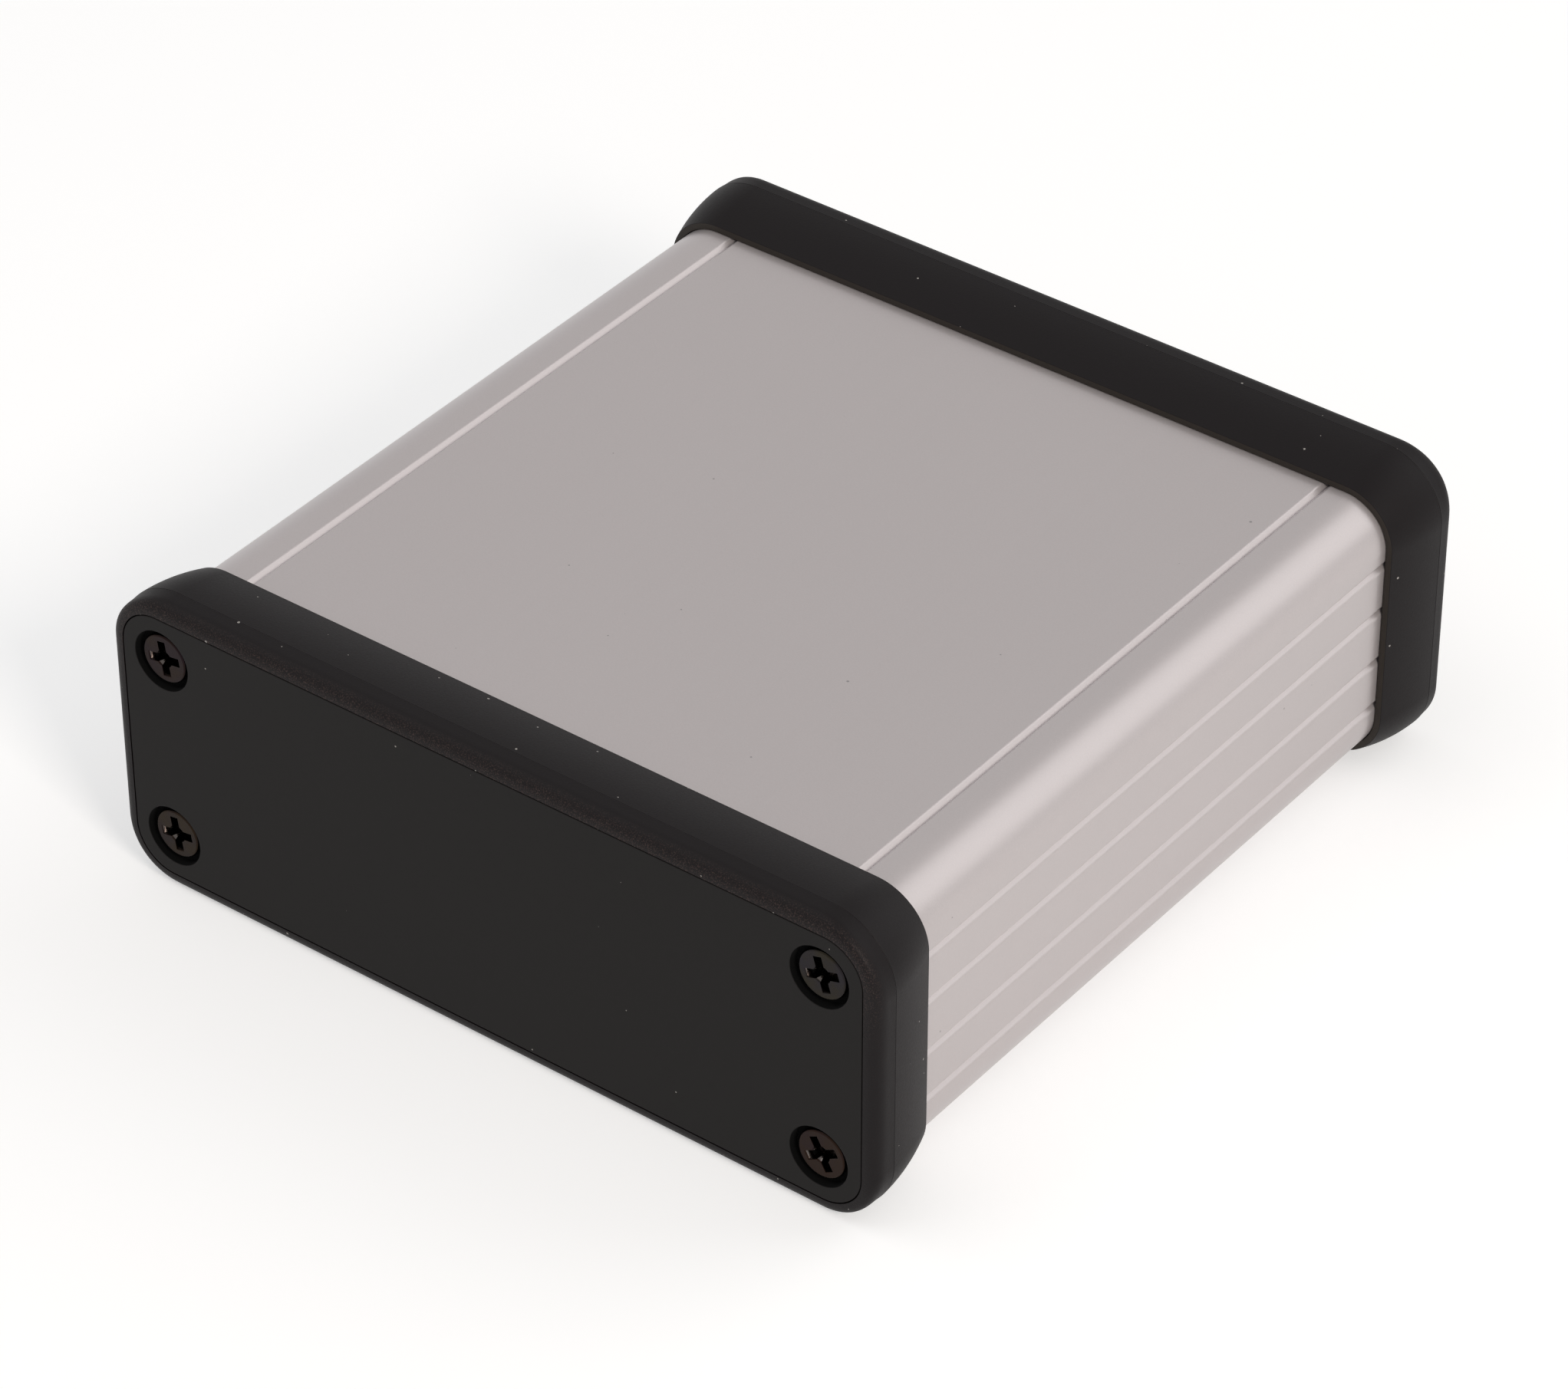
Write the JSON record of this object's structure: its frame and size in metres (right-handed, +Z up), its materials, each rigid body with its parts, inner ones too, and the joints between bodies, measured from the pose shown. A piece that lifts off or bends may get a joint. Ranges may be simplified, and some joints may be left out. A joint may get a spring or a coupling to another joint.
{
  "type": "extruded aluminium enclosure",
  "caption": "Small extruded aluminium instrument case with grooved sides, flared black end bezels, flat screwed end panels and a slide-in bottom cover.",
  "frame": {"origin": "on the ground under the middle of the case", "axes": "+X across the width, -Y out of the front panel, +Z up"},
  "size_m": [0.0818, 0.085, 0.0308],
  "materials": {
    "anodised_aluminium": "satin clear anodised",
    "bezel_plastic": "fine-textured black moulding",
    "panel_plastic": "smooth black moulding",
    "screw_steel": "black oxide, slightly glossy"
  },
  "bodies": {
    "root": {"body_extrusion": "anodised_aluminium", "slide_cover": "anodised_aluminium", "front_bezel": "bezel_plastic", "rear_bezel": "bezel_plastic", "front_end_panel": "panel_plastic", "rear_end_panel": "panel_plastic", "front_screws": "screw_steel", "rear_screws": "screw_steel"}
  },
  "joints": []
}
